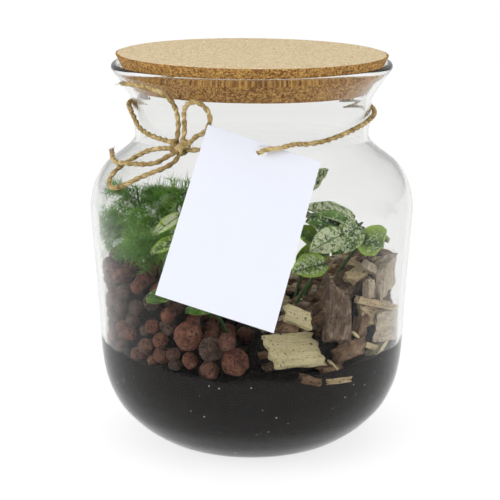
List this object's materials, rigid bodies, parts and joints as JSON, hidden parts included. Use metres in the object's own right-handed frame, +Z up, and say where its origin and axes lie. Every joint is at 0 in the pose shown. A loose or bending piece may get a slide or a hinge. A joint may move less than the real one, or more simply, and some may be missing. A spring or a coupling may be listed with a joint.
{
  "type": "glass plant terrarium",
  "caption": "Wide glass jar with a cork lid, planted with an asparagus fern and a mottled leafy plant in soil, clay balls and wood chips, with a twine bow and a blank card tag.",
  "frame": {"origin": "middle of the jar's foot, on the surface that it stands on", "axes": "+Z up, the front with the tag faces -Y, +X to the viewer's right"},
  "size_m": [0.1648, 0.1986, 0.2005],
  "materials": {
    "jar_glass": "clear gloss",
    "cork": "matt pressed cork",
    "potting_soil": "damp matt",
    "fired_clay": "matt, pitted",
    "pale_wood": "raw split wood",
    "bark": "raw bark",
    "fern_green": "soft leaf",
    "leaf_green": "satin leaf",
    "jute_twine": "hairy two ply",
    "tag_card": "smooth matt card"
  },
  "bodies": {
    "root": {"chip_bark_inner": "bark", "chip_bark_upright": "bark", "chip_bed": "bark", "chip_brown_inner": "bark", "chip_front_low": "bark", "chip_grey_right": "bark", "chip_knobbly": "bark", "chip_pale_front": "pale_wood", "chip_side_1": "bark", "chip_side_2": "pale_wood", "chip_side_3": "bark", "chip_side_4": "bark", "chip_side_5": "bark", "chip_side_6": "pale_wood", "chip_side_7": "bark", "chip_side_8": "bark", "chip_small_pale": "pale_wood", "chip_splinter": "pale_wood", "chip_streaked": "pale_wood", "chip_thin_top": "pale_wood", "chip_yellow_top": "pale_wood", "clay_balls": "fired_clay", "cork_lid": "cork", "fern_frond_back": "fern_green", "fern_frond_front": "fern_green", "fern_frond_high": "fern_green", "fern_frond_left": "fern_green", "fern_frond_middle": "fern_green", "fern_frond_right": "fern_green", "glass_jar": "jar_glass", "leafy_stem_back": "leaf_green", "leafy_stem_back_right": "leaf_green", "leafy_stem_front_right": "leaf_green", "leafy_stem_left": "leaf_green", "leafy_stem_low_front": "leaf_green", "leafy_stem_low_left": "leaf_green", "leafy_stem_right": "leaf_green", "leafy_stem_tall": "leaf_green", "paper_tag": "tag_card", "soil": "potting_soil", "twine_ear_left": "jute_twine", "twine_ear_right": "jute_twine", "twine_knot": "jute_twine", "twine_neck_back": "jute_twine", "twine_neck_front": "jute_twine", "twine_tail_left": "jute_twine", "twine_tail_upper": "jute_twine"}
  },
  "joints": []
}
